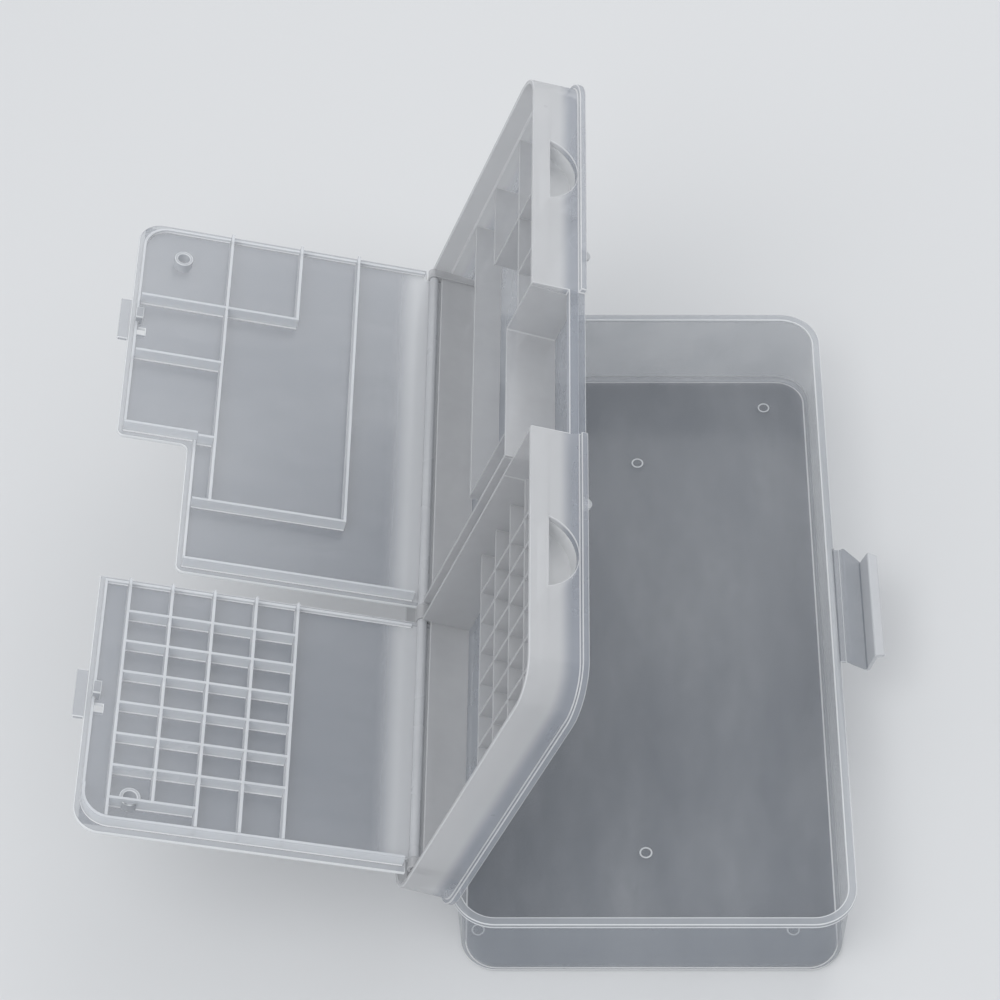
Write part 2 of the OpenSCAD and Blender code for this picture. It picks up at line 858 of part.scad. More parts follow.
module far_lid_ribs() {
    half = rib_t / 2;
    top = box_l - lip_in - rib_t;
    edge = lip_u1 - rib_t;
    notch = notch_u - lip_margin - rib_t;
    color([0.76, 0.77, 0.78])
        in_lid() {
            for (i = [0:2])
                rib(far_wall_u[i] - half, far_wall_u[i] + half,
                    (i == 1 ? far_wall_y[3] : far_wall_y[0]) - half, top);
            rib(far_wall_u[0], notch, far_wall_y[0] - half, far_wall_y[0] + half);
            rib(far_wall_u[2], notch, far_wall_y[1] - half, far_wall_y[1] + half);
            rib(far_wall_u[2], edge, far_wall_y[2] - half, far_wall_y[2] + half);
            rib(far_wall_u[1], edge, far_wall_y[3] - half, far_wall_y[3] + half);
        }
}

// Opening tab past the lid's edge, with the catch that rises over the low lip behind it
module lid_tab(y) {
    y0 = y - tab_l / 2 + 7.5;
    color([0.80, 0.80, 0.80])
        in_lid() {
            block(lid_u1, lid_u1 + tab_out, y - tab_l / 2, y + tab_l / 2, lid_w, lid_w + lid_t);
            block(lip_u1 - rib_t - 1.6, lip_u1 - rib_t, y0, y0 + 5, lid_w - rib_h + 1, lid_w);
            block(lip_u1 - rib_t - 1.6, lip_u1 + 0.1, y0, y0 + 5, lid_w - rib_h + 1, lid_w - low_lip_h);
        }
}

// Barrel along a lid's back edge and the pins at its two ends
module lid_barrel(y0, y1) {
    color([0.80, 0.80, 0.80])
        in_lid()
            difference() {
                union() {
                    bar(lid_axis_u, lid_axis_w, lid_barrel_r, y0, y1);
                    bar(lid_axis_u, lid_axis_w, lid_pin_r, y0 - lid_pin_reach, y1 + lid_pin_reach);
                }
                block(0, box_w, y0, y1, lid_w, lid_w + lid_t + 1);
            }
}

// Ring boss under a lid, with a gap where a rib crosses it
module lid_boss(u, y, rib_y) {
    color([0.82, 0.82, 0.82])
        in_lid()
            difference() {
                translate([u, y, lid_w - boss_h]) cylinder(h = boss_h, r = boss_r);
                translate([u, y, lid_w - boss_h - 1]) cylinder(h = boss_h + 2, r = boss_r - 1.2);
                rib(0, box_w, rib_y - rib_t / 2, rib_y + rib_t / 2);
            }
}

// ---------------------------------------------------------------- drawing

lower_tray();
lower_hinge_clips();
latch_strip();
latch_plate();
latch_hook();
upper_tray();
upper_hinge_tongues();
hinge_spine();
gutter_wall();
lid_hinge_eyes();
section_wall(section_near_y - cell_wall_t);  // section_wall_near
section_wall(section_far_y);  // section_wall_far
latch_well_walls();
thumb_scoop(near_tab_y);  // near_thumb_scoop
thumb_scoop(far_tab_y);  // far_thumb_scoop
for (i = [0:grid_cols])
    near_long_wall(i);
for (i = [0:grid_rows - 1])
    near_cross_wall(i);
for (i = [0:2])
    far_long_wall(i);
for (i = [0:3])
    far_cross_wall(i);
near_lid();
near_lid_lip();
near_lid_ribs();
lid_tab(near_tab_y);  // near_lid_tab
lid_barrel(near_tail[0], near_tail[1]);  // near_lid_barrel
lid_boss(lid_u1 - lid_corner_r - 8.4, lid_y0 + 12.3, grid_y0);  // near_lid_boss
far_lid();
far_lid_lip();
far_lid_ribs();
lid_tab(far_tab_y);  // far_lid_tab
lid_barrel(far_tail[0], far_tail[1]);  // far_lid_barrel
lid_boss(lid_u1 - lid_corner_r - 7.9, lid_y1 - 18.5, 0);  // far_lid_boss
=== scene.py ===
import json
import math

import bmesh
import bpy
import numpy as np
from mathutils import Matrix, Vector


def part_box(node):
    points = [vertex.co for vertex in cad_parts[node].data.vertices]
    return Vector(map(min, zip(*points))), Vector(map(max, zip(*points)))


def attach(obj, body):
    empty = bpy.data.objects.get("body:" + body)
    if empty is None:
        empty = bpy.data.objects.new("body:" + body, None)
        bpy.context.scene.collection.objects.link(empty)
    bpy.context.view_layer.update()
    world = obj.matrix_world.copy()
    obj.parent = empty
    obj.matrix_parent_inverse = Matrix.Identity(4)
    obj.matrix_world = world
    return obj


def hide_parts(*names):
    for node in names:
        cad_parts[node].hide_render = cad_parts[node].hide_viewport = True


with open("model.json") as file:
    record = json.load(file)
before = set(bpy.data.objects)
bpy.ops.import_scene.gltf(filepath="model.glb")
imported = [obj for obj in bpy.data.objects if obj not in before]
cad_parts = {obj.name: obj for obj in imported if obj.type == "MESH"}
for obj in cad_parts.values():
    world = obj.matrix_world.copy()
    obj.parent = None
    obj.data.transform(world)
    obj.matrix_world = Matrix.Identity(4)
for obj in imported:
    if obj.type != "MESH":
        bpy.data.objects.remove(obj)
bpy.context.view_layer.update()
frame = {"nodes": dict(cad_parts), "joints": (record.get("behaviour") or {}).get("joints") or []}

# ---------------------------------------------------------------- camera
# The photograph looks down along the box at 51.46 degrees, with no yaw and no roll. Its lens and its
# off-centre crop come from fitting the edges of both rims. MM turns the millimetres used below to metres.
MM = 0.001
CAMERA_MM = (-30.96, -664.88, 925.72)
LENS_MM, SENSOR_MM = 111.31, 36.0
LOOK_DOWN_DEG = 51.46
SHIFT_X = -0.0616
CLIP_NEAR_M, CLIP_FAR_M = 0.05, 20.0
SKINS_SEEN_THROUGH = 64
scene = bpy.context.scene
camera_data = bpy.data.cameras.new("camera")
camera_data.sensor_width = SENSOR_MM
camera_data.lens = LENS_MM
camera_data.shift_x = SHIFT_X
camera_data.clip_start, camera_data.clip_end = CLIP_NEAR_M, CLIP_FAR_M
camera = bpy.data.objects.new("camera", camera_data)
camera.location = [value * MM for value in CAMERA_MM]
camera.rotation_euler = (math.radians(90.0 - LOOK_DOWN_DEG), 0.0, 0.0)
scene.collection.objects.link(camera)
scene.camera = camera
scene.view_settings.view_transform = "Standard"
scene.cycles.transparent_max_bounces = SKINS_SEEN_THROUGH


# ------------------------------------------------------------ lower tray
# The plain deep tray is one thin moulding in clear-to-milky polypropylene: a flat floor, four walls that
# lean out a little, and a flat rim. Its floor keeps the round marks of the mould's pins and gates.
POLYPROPYLENE_IOR = 1.49
CLOUD_MM, CLOUD_DETAIL, CLOUD_ROUGHNESS = 34.0, 4.0, 0.55
CLOUD_LOW, CLOUD_HIGH = 0.3, 0.7  # most of the noise lies between these
GLOSS_DRIFT = 0.15
PEEL_MM, PEEL_DEPTH_MM, PEEL_STRENGTH = 1.5, 0.006, 0.15


def linear(hex_colour):
    """An sRGB hex colour such as "c8cacd" as linear red, green, blue and 1."""
    srgb = np.array([int(hex_colour[i:i + 2], 16) for i in (0, 2, 4)]) / 255.0
    low, high = srgb / 12.92, ((srgb + 0.055) / 1.055) ** 2.4
    return (*np.where(srgb <= 0.04045, low, high).tolist(), 1.0)


def add(tree, kind, links=None, **settings):
    """Adds a node; settings are its properties, or its sockets by name; links are socket: source."""
    node = tree.nodes.new(kind)
    for key, value in settings.items():
        if hasattr(node, key):
            setattr(node, key, value)
        else:
            node.inputs[key.replace("_", " ")].default_value = value
    for socket, source in (links or {}).items():
        tree.links.new(source, node.inputs[socket])
    return node


def moulded_polypropylene(name, colour, veil, roughness, cloud, grain=(1.0, 1.0, 1.0), thick=None):
    """Injection-moulded polypropylene: a veil of white scatter that lets part of the light through.

    The veil is the share that a single skin hides. It drifts by cloud over a few centimetres, as the melt
    cooled, and grain stretches that drift along the flow. The skin has a faint orange peel about 1.5 mm
    across, which only the gloss shows. thick is where the plastic turns thicker and so whiter: a way, the
    millimetres along it where that starts and ends, and the colour and veil there.
    """
    material = bpy.data.materials.new("moulded_polypropylene_" + name)
    material.use_nodes = True
    tree = material.node_tree
    tree.nodes.clear()
    place = add(tree, "ShaderNodeTexCoord").outputs["Object"]
    flow = add(tree, "ShaderNodeMapping", {"Vector": place}, Scale=grain).outputs[0]
    drift = add(tree, "ShaderNodeTexNoise", {"Vector": flow}, Scale=1 / (CLOUD_MM * MM),
                Detail=CLOUD_DETAIL, Roughness=CLOUD_ROUGHNESS).outputs["Fac"]
    alpha = add(tree, "ShaderNodeMapRange", {"Value": drift}, From_Min=CLOUD_LOW, From_Max=CLOUD_HIGH,
                To_Min=veil * (1 - cloud), To_Max=veil * (1 + cloud)).outputs[0]
    gloss = add(tree, "ShaderNodeMapRange", {"Value": drift}, From_Min=CLOUD_LOW, From_Max=CLOUD_HIGH,
                To_Min=roughness * (1 + GLOSS_DRIFT), To_Max=roughness * (1 - GLOSS_DRIFT)).outputs[0]
    peel = add(tree, "ShaderNodeTexNoise", {"Vector": place}, Scale=1 / (PEEL_MM * MM),
               Detail=1.0).outputs["Fac"]
    skin = add(tree, "ShaderNodeBump", {"Height": peel}, Strength=PEEL_STRENGTH,
               Distance=PEEL_DEPTH_MM * MM).outputs[0]
    shader = add(tree, "ShaderNodeBsdfPrincipled", {"Roughness": gloss, "Normal": skin},
                 Base_Color=linear(colour), IOR=POLYPROPYLENE_IOR)
    if thick:
        way, start, end, thick_colour, thick_veil = thick
        along = add(tree, "ShaderNodeVectorMath", {0: place}, operation="DOT_PRODUCT")
        along.inputs[1].default_value = way
        share = add(tree, "ShaderNodeMapRange", {"Value": along.outputs["Value"]}, From_Min=start * MM,
                    From_Max=end * MM, interpolation_type="SMOOTHSTEP").outputs[0]
        blend = add(tree, "ShaderNodeMix", {"Factor": share}, data_type="RGBA")
        blend.inputs["A"].default_value = linear(colour)
        blend.inputs["B"].default_value = linear(thick_colour)
        tree.links.new(blend.outputs["Result"], shader.inputs["Base Color"])
        alpha = add(tree, "ShaderNodeMapRange", {"Value": share, "To Min": alpha},
                    To_Max=thick_veil).outputs[0]
    tree.links.new(alpha, shader.inputs["Alpha"])
    add(tree, "ShaderNodeOutputMaterial", {"Surface": shader.outputs[0]})
    return material


# the floor is one thin skin, so it is dark, with clouds drawn out along the tray
clear_floor = moulded_polypropylene("clear_floor", "7f858e", veil=0.36, roughness=0.22, cloud=0.2,
                                    grain=(1.0, 0.35, 1.0))
# the walls are nearly as thin, and look a little paler because they are seen at a slant
clear_wall = moulded_polypropylene("clear_wall", "a3a9b1", veil=0.3, roughness=0.22, cloud=0.14)
# the rim is thicker, and hides about half of what lies under it
clear_rim = moulded_polypropylene("clear_rim", "b6babf", veil=0.5, roughness=0.2, cloud=0.1)
# an edge or a sharp bend is thicker along the line of sight and gathers the light: this whiter colour
# paints that as a bright line round any clear moulding, partly real thickness and partly painted
# highlight
painted_edge_highlight = moulded_polypropylene("painted_edge_highlight", "e4e6e8", veil=0.82, roughness=0.2, cloud=0.06)
# the foot's bends face down and get little light, so the line where they meet the floor and the wall is
# painted whiter still, a painted highlight, and a little matt
painted_foot_highlight = moulded_polypropylene("painted_foot_highlight", "ffffff", veil=0.9, roughness=0.3, cloud=0.04)


def mesh_object(name, points, faces, materials, face_material=None):
    """A smooth-shaded object from points in metres, faces and one material number for each face."""
    mesh = bpy.data.meshes.new(name)
    mesh.from_pydata(np.asarray(points).tolist(), [], [list(face) for face in faces])
    for material in materials:
        mesh.materials.append(material)
    if face_material is not None:
        mesh.polygons.foreach_set("material_index", np.asarray(face_material, np.int32))
    mesh.shade_smooth()
    ob = bpy.data.objects.new(name, mesh)
    scene.collection.objects.link(ob)
    return ob


BEND_STEPS = 6


def rounded(corners, radii):
    """A polyline with round corners. Each arc touches both sides at radius x tan(half the turn) from the
    corner, and its points lie at equal angles round its centre."""
    out = []
    for i, (corner, radius) in enumerate(zip(corners, radii)):
        corner = np.array(corner, float)
        if radius == 0:
            out.append(corner[None])
            continue
        before = np.array(corners[i - 1], float) - corner
        after = np.array(corners[(i + 1) % len(corners)], float) - corner
        before, after = before / np.linalg.norm(before), after / np.linalg.norm(after)
        half = math.acos(np.clip(before @ after, -1, 1)) / 2
        middle = (before + after) / np.linalg.norm(before + after)
        centre = corner + middle * radius / math.sin(half)
        turn = np.linspace(-1, 1, BEND_STEPS + 1)[:, None] * (math.pi / 2 - half)
        side = (after - before) / np.linalg.norm(after - before)
        out.append(centre + radius * (np.sin(turn) * side - np.cos(turn) * middle))
    return np.vstack(out)


def box_outline(inset, width, length, radius, steps=14):
    """A rounded rectangle drawn in by inset, as (inset count) x (point count) x 2. Each quarter is a
    corner's centre plus (radius - inset) x (cos, sin) of an angle that runs over 90 degrees."""
    angle = np.linspace(0, math.pi / 2, steps + 1)
    quarters = [(1, 1, 0.0), (-1, 1, 0.5), (-1, -1, 1.0), (1, -1, 1.5)]
    reach = radius - np.asarray(inset, float)[:, None]
    sides = []
    for x_side, y_side, turn in quarters:
        at = angle + turn * math.pi
        sides.append(np.stack([x_side * (width / 2 - radius) + reach * np.cos(at),
                               y_side * (length / 2 - radius) + reach * np.sin(at)], -1))
    return np.concatenate(sides, 1)


def ring_faces(rows, columns, closed_rows=False):
    """Quads between neighbouring rings of a grid whose rings close on themselves."""
    last = rows if closed_rows else rows - 1
    row = np.arange(last)[:, None]
    column = np.arange(columns)[None]
    a, b = row * columns, ((row + 1) % rows) * columns
    right = (column + 1) % columns
    return np.stack([a + column, a + right, b + right, b + column], -1).reshape(-1, 4).tolist()


low_corner, high_corner = (np.array(corner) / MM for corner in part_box("lower_tray"))
BOX_W, BOX_L, LOWER_H = high_corner - low_corner
BOX_R = 15.0
WALL_T, FLOOR_T, RIM_T = 1.5, 1.3, 2.3
LOWER_OVER, LOWER_DRAFT, FOOT_R = 1.6, 0.9, 2.0
INNER = LOWER_OVER + WALL_T
LAST_INSET = BOX_R - 2.0
SEAT_Y0, SEAT_Y1, SEAT_Z, SEAT_DEPTH = -28.6, 21.8, LOWER_H - 1.4, 0.8
HAIR = 0.01  # between the two points that make a sharp step
# Section of the tray, as distance in from the rim's edge and height: under the floor, up the outside,
# round the rim, down the inside and out over the floor
section = rounded(
    [(LAST_INSET, 0), (LOWER_OVER + LOWER_DRAFT, 0), (LOWER_OVER, LOWER_H - RIM_T), (0, LOWER_H - RIM_T),
     (0, SEAT_Z - HAIR), (0, SEAT_Z), (0, LOWER_H), (INNER, LOWER_H), (INNER + LOWER_DRAFT, FLOOR_T),
     (LAST_INSET, FLOOR_T)],
    [0, FOOT_R, 0.3, 0.3, 0, 0, 0.3, 0.5, 0.9, 0])
outline = box_outline(section[:, 0], BOX_W, BOX_L, BOX_R)
# the last four columns stand at the ends of the seat that is cut in the rim's edge for the latch strip
seat_y = np.array([SEAT_Y0 - 2 * HAIR, SEAT_Y0, SEAT_Y1, SEAT_Y1 + 2 * HAIR])
edge_x = np.repeat(BOX_W / 2 - section[:, :1], 4, 1)
in_seat = section[:, 1] > SEAT_Z - HAIR / 2
edge_x[in_seat, 1:3] = np.minimum(edge_x[in_seat, 1:3], BOX_W / 2 - SEAT_DEPTH)
outline = np.concatenate([outline, np.dstack([edge_x, np.broadcast_to(seat_y, edge_x.shape)])], 1)
count = outline.shape[1]
heights = np.repeat(section[:, 1:2], count, 1)
shell = np.dstack([outline, heights]).reshape(-1, 3)
rings = len(section)
faces = ring_faces(rings, count)
faces.append(list(range(count))[::-1])
faces.append(list(range((rings - 1) * count, rings * count)))
# short steps of the section are its bends: those of the rim and both ends of the foot get a painted
# highlight for the light they catch
IN_FLOOR, IN_WALL, IN_RIM, IN_EDGE_HIGHLIGHT, IN_FOOT_HIGHLIGHT = range(5)
RIM_BEND, LONGEST_BEND_STEP = 0.4, 0.7
step_length = np.linalg.norm(np.diff(section, axis=0), axis=1)
middle_height = (section[:-1, 1] + section[1:, 1]) / 2
is_rim = middle_height > LOWER_H - RIM_T - RIM_BEND
is_bend = (step_length < LONGEST_BEND_STEP) & (step_length > 2 * HAIR)
is_floor = middle_height < FLOOR_T + 2 * HAIR
band = np.select([is_rim & is_bend, is_rim, is_floor], [IN_EDGE_HIGHLIGHT, IN_RIM, IN_FLOOR], IN_WALL)
foot_steps = np.flatnonzero(is_bend & (middle_height < FOOT_R))[:BEND_STEPS]
band[foot_steps] = IN_RIM
band[foot_steps[[0, -1]]] = IN_FOOT_HIGHLIGHT
tray = mesh_object("lower_tray_shell", shell * MM, faces,
                   [clear_floor, clear_wall, clear_rim, painted_edge_highlight, painted_foot_highlight],
                   np.concatenate([np.repeat(band, count), [IN_FLOOR, IN_FLOOR]]))
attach(tray, "lower_tray")
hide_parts("lower_tray")


# three pin rings stand in the floor's corners, and two gate marks lie on its long axis: place and height
MARK_R, MARK_W, MARK_SUNK, MARK_LIFT, MARK_STEPS = 2.0, 0.6, 0.05, 0.02, 40
FLOOR_MARKS = {"floor_pin_ring_far": (48.1, 117.6, 0.16),
               "floor_pin_ring_near_left": (-59.7, -117.6, 0.16),
               "floor_pin_ring_near_right": (48.8, -117.6, 0.16),
               "floor_gate_mark_far": (-1.7, 89.7, 0.08),
               "floor_gate_mark_near": (-1.4, -86.5, 0.08)}


def floor_ring(name, x, y, high):
    """A shallow round mark in the floor. Its section is a low ridge, at the mark's radius + half its
    width x cos and high x sin of an angle over 180 degrees, and two points sunk in the skin. Turned about
    an upright line, each point goes to (x, y) + its radius x (cos, sin), at its height."""
    back = np.linspace(0, math.pi, 7)
    radius = np.append(MARK_R + MARK_W / 2 * np.cos(back), [MARK_R - MARK_W / 2, MARK_R + MARK_W / 2])
    height = np.append(high * np.sin(back), [-MARK_SUNK, -MARK_SUNK])
    around = np.arange(MARK_STEPS) / MARK_STEPS * 2 * math.pi
    points = np.dstack([x + np.outer(radius, np.cos(around)), y + np.outer(radius, np.sin(around)),
                        np.repeat(FLOOR_T + MARK_LIFT + height[:, None], MARK_STEPS, 1)])
    # the whole mark is drawn in the painted edge highlight colour
    return mesh_object(name, points.reshape(-1, 3) * MM, ring_faces(len(radius), MARK_STEPS, True),
                       [painted_edge_highlight])


for name, (x, y, high) in FLOOR_MARKS.items():
    mark = floor_ring(name, x, y, high)
    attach(mark, "lower_tray")

# ------------------------------------ lower tray: hinge clips and latch strip
# Three open barrels on the hinge side snap over the upper tray's pins, and a strip 0.6 mm thin on the
# other side carries the latch. Both are of the tray's own moulding, with the edges the mould leaves.
WELD_MM, CUT_M, FLAT_DEG, SHARP_DEG = 0.002, 1e-7, 0.5, 28.0
EDGE_SEGMENTS, FLAT_WEIGHT = 2, 60


def softened(name, body, width, materials, pick=None, cuts=(), clamp=False):
    """A moulded copy of a CAD node: its corners merged, its flat faces dissolved, cut along the planes in
    cuts (point in mm, direction) and drawn again as few triangles, and every sharp edge rounded to width,
    in mm. The rounding takes the last material. pick gives each face its material's number, from the
    faces' centres in mm and their directions, and without it all faces take the first."""
    shape = bmesh.new()
    shape.from_mesh(frame["nodes"][name].data)
    bmesh.ops.remove_doubles(shape, verts=shape.verts, dist=WELD_MM * MM)
    bmesh.ops.dissolve_limit(shape, angle_limit=math.radians(FLAT_DEG), verts=shape.verts,
                             edges=shape.edges)
    for point, way in cuts:
        bmesh.ops.bisect_plane(shape, geom=shape.verts[:] + shape.edges[:] + shape.faces[:], dist=CUT_M,
                               plane_co=point * MM, plane_no=way)
    bmesh.ops.triangulate(shape, faces=shape.faces[:])
    shape.verts.index_update()
    points = [tuple(vertex.co) for vertex in shape.verts]
    faces = [[vertex.index for vertex in face.verts] for face in shape.faces]
    centres = np.array([face.calc_center_median() for face in shape.faces]) / MM
    directions = np.array([face.normal for face in shape.faces])
    shape.free()
    kind = pick(centres, directions) if pick else np.zeros(len(faces), int)
    piece = mesh_object(name + "_moulding", points, faces, materials, kind)
    bevel = piece.modifiers.new("moulded_edges", "BEVEL")
    bevel.width, bevel.segments, bevel.use_clamp_overlap = width * MM, EDGE_SEGMENTS, clamp
    bevel.limit_method, bevel.angle_limit = "ANGLE", math.radians(SHARP_DEG)
    bevel.material = len(materials) - 1
    weighted = piece.modifiers.new("flat_faces_stay_flat", "WEIGHTED_NORMAL")
    weighted.weight, weighted.keep_sharp = FLAT_WEIGHT, False
    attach(piece, body)
    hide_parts(name)


softened("lower_hinge_clips", "lower_tray", 0.2, [clear_rim, painted_edge_highlight])
softened("latch_strip", "lower_tray", 0.15, [clear_floor, painted_edge_highlight])

# ----------------------------------------------------------------- latch
# The latch hangs open from its strip: a flat plate, a hook turned up from the plate's foot, and a bead
# along the hook's tip. It is one moulding with the lower tray, in the same plastic.

# the plate is thin and lets what lies behind it show, as the tray's floor does
latch_panel = moulded_polypropylene("latch_panel", "848b95", veil=0.38, roughness=0.22, cloud=0.1)
# the hook is seen through more of its plastic, so it is much whiter
latch_hook = moulded_polypropylene("latch_hook", "d4d6d9", veil=0.66, roughness=0.22, cloud=0.1)
softened("latch_plate", "main_latch", 0.2, [latch_panel, painted_edge_highlight], clamp=True)
softened("latch_hook", "main_latch", 0.2, [latch_hook, painted_edge_highlight], clamp=True)

# ------------------------------------------------------------ upper tray
# The shallow tray of cells stands open on its hinge. It is one milky moulding with a rim, a spine along
# the hinge side, low cell walls, tall walls round the latch well and two thumb scoops in its front wall.
JOINTS = {joint["name"]: joint for joint in frame["joints"]}
TRAY_TURN = math.radians(JOINTS["upper_tray_hinge"]["range_deg"][1])
LID_TURN = TRAY_TURN + math.radians(JOINTS["near_lid_hinge"]["range_deg"][1])
SEAM, AXIS_OUT = 0.2, 2.2
LID_AXIS_U, LID_AXIS_W = 21.0, 18.0
SEAT_NEAR_Y, SEAT_FAR_Y, FRONT_WALL_U = 104.3, 166.0, 131.0
FLOOR_TOP_W, FACING = 1.5, 0.9
CLEAR_TO_W, MILKY_FROM_W = 4.5, 9.5


def opened(turn, joint, own):
    """A tray or lid that has opened by turn about a joint, whose own place inside it is own. Gives its
    directions as rows (u across, y along, w up when shut), turned about y: u is (cos, 0, sin) and w is
    (-sin, 0, cos). Gives the world place of its zero too: the joint's, less own along those rows."""
    axes = np.array([(math.cos(turn), 0.0, math.sin(turn)), (0.0, 1.0, 0.0),
                     (-math.sin(turn), 0.0, math.cos(turn))])
    return axes, np.array(JOINTS[joint]["pos_m"]) / MM - np.array(own) @ axes


hinge_height = JOINTS["upper_tray_hinge"]["pos_m"][2] / MM
TRAY_AXES, TRAY_ZERO = opened(TRAY_TURN, "upper_tray_hinge",
                              (-AXIS_OUT, BOX_L / 2, hinge_height - LOWER_H - SEAM))
LID_AXES, LID_ZERO = opened(LID_TURN, "near_lid_hinge", (LID_AXIS_U, BOX_L / 2, LID_AXIS_W))


def tray_faces(place, way):
    """The tray's floor is a thin panel (1), and the low wall under the latch is thin and clear (2). Its
    other walls, rim and step are milkier (0)."""
    u, y, w = ((place - TRAY_ZERO) @ TRAY_AXES.T).T
    floor_face = (abs(way @ TRAY_AXES[2]) > FACING) & (w < FLOOR_TOP_W)
    seat_wall = (way @ TRAY_AXES[0] > FACING) & (u > FRONT_WALL_U) & (y > SEAT_NEAR_Y) & (y < SEAT_FAR_Y)
    return np.select([seat_wall, floor_face], [2, 1], 0)


# the outer wall is clear by its rim and turns milky over the next few millimetres
tray_foot = TRAY_ZERO @ TRAY_AXES[2]
milky_wall = moulded_polypropylene(
    "milky_wall", "a3a8b1", veil=0.44, roughness=0.32, cloud=0.1,
    thick=(TRAY_AXES[2], tray_foot + CLEAR_TO_W, tray_foot + MILKY_FROM_W, "cbccce", 0.6))
# the tray's floor panel is an even grey, and half see-through
milky_panel = moulded_polypropylene("milky_panel", "b4b8be", veil=0.5, roughness=0.28, cloud=0.12,
                                    grain=(1.0, 0.5, 1.0))
# the low wall that the latch hooks over is thin, so it is dark and bluish between the milky ones
clear_seat = moulded_polypropylene("clear_seat", "89909b", veil=0.4, roughness=0.25, cloud=0.12)
# the tray's edges carry a softer painted highlight, pale and less bright than the lower tray's
milky_edge_highlight = moulded_polypropylene("milky_edge_highlight", "dcdddf", veil=0.66, roughness=0.3, cloud=0.08)
seat_cuts = [(TRAY_ZERO + TRAY_AXES[1] * y, TRAY_AXES[1]) for y in (SEAT_NEAR_Y, SEAT_FAR_Y)]
softened("upper_tray", "upper_tray", 0.35,
         [milky_wall, milky_panel, clear_seat, milky_edge_highlight], tray_faces, seat_cuts)
# the walls inside are short, so they keep one milky tone up to their edges, which get only a faint
# painted highlight and hardly stand out
cell_skin = moulded_polypropylene("cell", "c6c7c9", veil=0.52, roughness=0.34, cloud=0.1)
cell_edge_highlight = moulded_polypropylene("cell_edge_highlight", "d2d3d5", veil=0.58, roughness=0.32, cloud=0.08)
for name, width in (("upper_hinge_tongues", 0.2), ("hinge_spine", 0.3), ("gutter_wall", 0.3),
                    ("lid_hinge_eyes", 0.2), ("section_wall_near", 0.3), ("section_wall_far", 0.3),
                    ("latch_well_walls", 0.3)):
    softened(name, "upper_tray", width, [cell_skin, cell_edge_highlight])
# a scoop shows through the wall in front of it as a pale half-moon; its recess faces away from the light,
# so it is painted nearly white to cancel that shade
scoop_painted_lighter = moulded_polypropylene("scoop", "e6e7e8", veil=0.6, roughness=0.34, cloud=0.08)
for name in ("near_thumb_scoop", "far_thumb_scoop"):
    softened(name, "upper_tray", 0.3, [scoop_painted_lighter])
CELL_WALLS = {"near_long_wall": 5, "near_cross_wall": 7, "far_long_wall": 3, "far_cross_wall": 4}
for kind, walls in CELL_WALLS.items():
    for i in range(1, walls + 1):
        softened(f"{kind}_{i}", "upper_tray", 0.2, [cell_skin, cell_edge_highlight])

# ----------------------------------------------- upper tray: locating lugs
# Two small half-round lugs stand out from the rim's seating face, the same distance either side of the
# latch. They drop inside the lower tray's wall when the box is shut, and are of the tray's own moulding.
LUG_U, LUG_T, LUG_HALF, LUG_REACH, LUG_SUNK, LUG_STEPS = 131.2, 1.0, 2.4, 2.6, 0.3, 12
for name, y in (("locating_lug_near", 78.6), ("locating_lug_far", 185.3)):
    # half an oval on each face: half the width x cos along, and the reach x sin down from inside the rim
    angle = np.linspace(0, math.pi, LUG_STEPS + 1)
    side = np.stack([y + LUG_HALF * np.cos(angle), LUG_SUNK - (LUG_REACH + LUG_SUNK) * np.sin(angle)], -1)
    grid = np.array([[(u, *point) for point in side] for u in (LUG_U, LUG_U + LUG_T)])
    points = TRAY_ZERO + grid.reshape(-1, 3) @ TRAY_AXES
    steps = len(side)
    faces = ring_faces(2, steps) + [list(range(steps)), list(range(2 * steps - 1, steps - 1, -1))]
    # each lug is drawn all in the painted edge highlight colour
    lug = mesh_object(name, points * MM, faces, [painted_edge_highlight])
    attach(lug, "upper_tray")

# ------------------------------------------------------------------ lids
# Two clear lids lie open on the hinge side, upside down, so their ribs, lips and ring bosses face up.
# Each is one thin moulding with a barrel along its back edge, and a tab and a catch on its free edge.
LID_W, NEAR_LID_Y, FAR_LID_Y, WELL_END_Y, NOTCH_IN = 18.9, 104.1, 110.7, 166.3, 28.5
LIP_IN, LIP_MARGIN = 5.3, 1.9
CLEAR_PAST_U, WHITE_UNDER_U = 37.0, 27.0
ROOT_START, ROOT_END = 1.1, 0.5
EDGE_FACING = 0.5  # an edge's direction has less than this share along w
lip_u = BOX_W - LIP_IN
notch_u = BOX_W - NOTCH_IN
lid_zero_up = LID_ZERO @ LID_AXES[2]
lid_zero_across = LID_ZERO @ LID_AXES[0]
# Lines on each lid, as its own direction's number and the place along it: past them lies the margin
LIPS = {"near_lid": [(0, lip_u), (1, LIP_IN), (1, NEAR_LID_Y - LIP_MARGIN)],
        "far_lid": [(0, lip_u), (1, FAR_LID_Y + LIP_MARGIN), (1, BOX_L - LIP_IN),
                    (0, notch_u - LIP_MARGIN), (1, WELL_END_Y + LIP_MARGIN)]}


def plate_faces(lid):
    """Picks a lid plate's edges (2), the paler margin past its lips (1) and its clear middle (0)."""
    def pick(place, way):
        u, y = ((place - LID_ZERO) @ LID_AXES.T).T[:2]
        if lid == "near_lid":
            outside = (u > lip_u) | (y < LIP_IN) | (y > NEAR_LID_Y - LIP_MARGIN)
        else:
            outside = (u > lip_u) | (y < FAR_LID_Y + LIP_MARGIN) | (y > BOX_L - LIP_IN)
            outside |= (u > notch_u - LIP_MARGIN) & (y < WELL_END_Y + LIP_MARGIN)
        return np.where(abs(way @ LID_AXES[2]) < EDGE_FACING, 2, np.where(outside, 1, 0))
    return pick


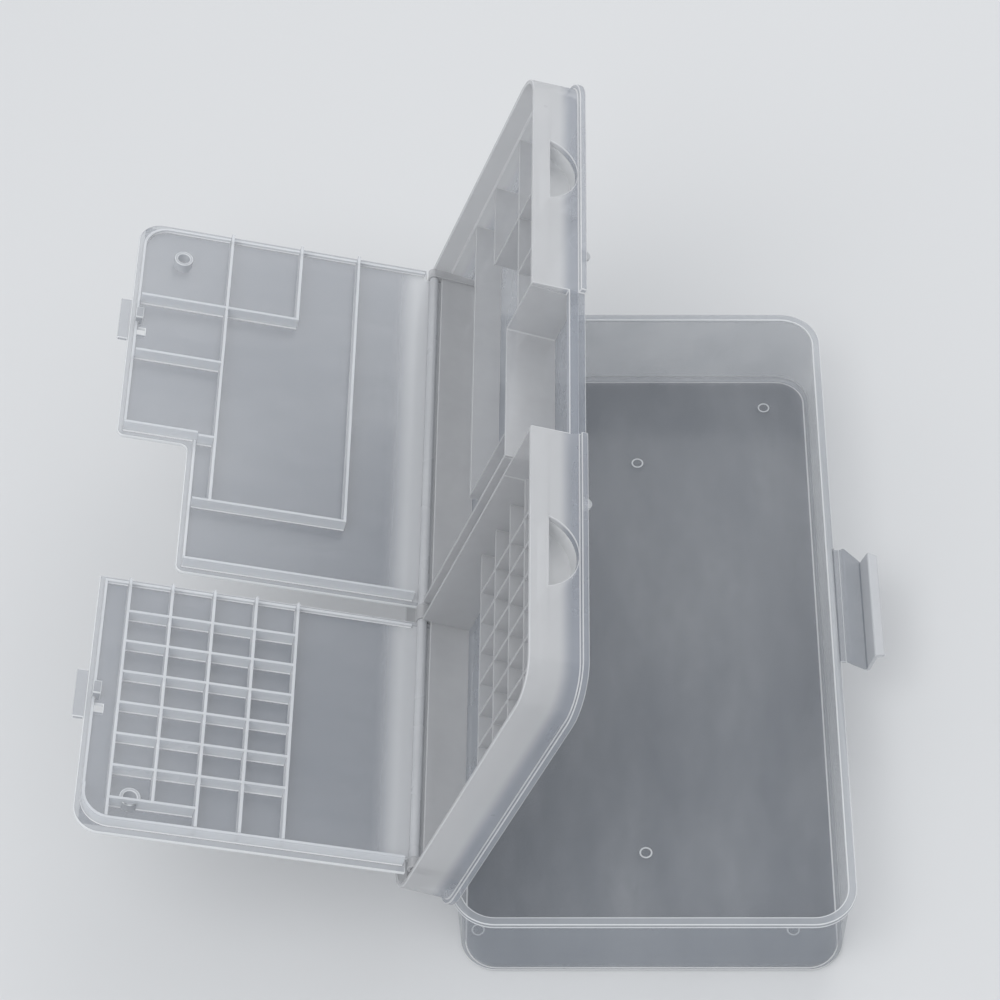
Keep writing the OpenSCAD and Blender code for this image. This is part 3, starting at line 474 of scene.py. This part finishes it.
# a lid is a clear, dark plate that turns white over a centimetre by its barrel, and its clouds run across
# it, as the melt did
lid_skin = moulded_polypropylene(
    "lid", "7b828d", veil=0.36, roughness=0.2, cloud=0.14, grain=(0.3, 1.0, 1.0),
    thick=(-LID_AXES[0], -(lid_zero_across + CLEAR_PAST_U), -(lid_zero_across + WHITE_UNDER_U),
           "cfd1d4", 0.66))
# outside its lips a lid has a paler border, where it rests on the tray when shut
lid_margin = moulded_polypropylene("lid_margin", "bfc2c6", veil=0.5, roughness=0.22, cloud=0.1)
# a rib or lip is painted paler than its plastic, to cancel the shade that falls on its upright sides,
# with a pure white line at its root, where it joins the plate
rib_painted_lighter = moulded_polypropylene(
    "rib", "e0e3e7", veil=0.6, roughness=0.25, cloud=0.1,
    thick=(LID_AXES[2], lid_zero_up + LID_W - ROOT_START, lid_zero_up + LID_W - ROOT_END, "ffffff", 0.95))
# the rounded tops of ribs and lips are a little greyer than their sides, which are painted lighter
rib_edge = moulded_polypropylene("rib_edge", "ced1d5", veil=0.56, roughness=0.22, cloud=0.08)
# the barrel is a solid rod, so it is the milkiest part of a lid and even along its length
barrel_skin = moulded_polypropylene("barrel", "d0d2d5", veil=0.7, roughness=0.28, cloud=0.08)
# the tab is a small flat tongue, paler than the plate that it grows from
tab_skin = moulded_polypropylene("tab", "b6b9be", veil=0.56, roughness=0.24, cloud=0.1)
for lid, lips in LIPS.items():
    lip_cuts = [(LID_ZERO + LID_AXES[axis] * place, LID_AXES[axis]) for axis, place in lips]
    softened(lid, lid, 0.3, [lid_skin, lid_margin, painted_edge_highlight], plate_faces(lid),
             lip_cuts)
    softened(lid + "_barrel", lid, 0.2, [barrel_skin])
    softened(lid + "_ribs", lid, 0.15, [rib_painted_lighter, rib_edge])
    softened(lid + "_lip", lid, 0.15, [rib_painted_lighter, rib_edge])
    softened(lid + "_tab", lid, 0.3, [tab_skin, painted_edge_highlight])
    softened(lid + "_boss", lid, 0.25, [rib_edge, painted_edge_highlight])

# ----------------------------------------------------------------- floor
# A plain pale matt floor, 12 m across, lies a tenth of a millimetre under the box. Soft light comes from
# the front left and from behind, and evenly from a pale surround.
FLOOR_HALF_M, FLOOR_DROP_M = 6.0, 0.0001
SURROUND_COLOUR, SURROUND_STRENGTH = (0.95, 0.97, 1.0, 1.0), 0.7
floor = mesh_object("floor", [(x * FLOOR_HALF_M, y * FLOOR_HALF_M, -FLOOR_DROP_M)
                              for x, y in ((-1, -1), (1, -1), (1, 1), (-1, 1))], [(0, 1, 2, 3)], [])
# matt paint has no shine of its own, so only the box's soft shadow shows on it
floor_material = bpy.data.materials.new("pale_matt_paint")
floor_material.use_nodes = True
floor_shader = floor_material.node_tree.nodes["Principled BSDF"]
floor_shader.inputs["Base Color"].default_value = linear("d8d9da")
floor_shader.inputs["Roughness"].default_value = 0.8
floor.data.materials.append(floor_material)

world = bpy.data.worlds.new("studio")
world.use_nodes = True
background = world.node_tree.nodes["Background"]
background.inputs["Color"].default_value = SURROUND_COLOUR
background.inputs["Strength"].default_value = SURROUND_STRENGTH
scene.world = world


def softbox(name, place, watts, size=0.9, aim=(0.0, 0.0, 0.05)):
    """A square area lamp at place, in metres, tipped from straight down and turned until it faces aim."""
    lamp = bpy.data.lights.new(name, "AREA")
    lamp.size, lamp.energy = size, watts
    ob = bpy.data.objects.new(name, lamp)
    ob.location = place
    way = np.array(aim) - np.array(place)
    ob.rotation_euler = (math.acos(-way[2] / np.linalg.norm(way)), 0.0,
                         math.atan2(way[1], way[0]) - math.pi / 2)
    scene.collection.objects.link(ob)


softbox("key_softbox", (-0.5, -0.7, 1.3), 8.5)
softbox("back_softbox", (0.4, 1.1, 1.0), 5.0)
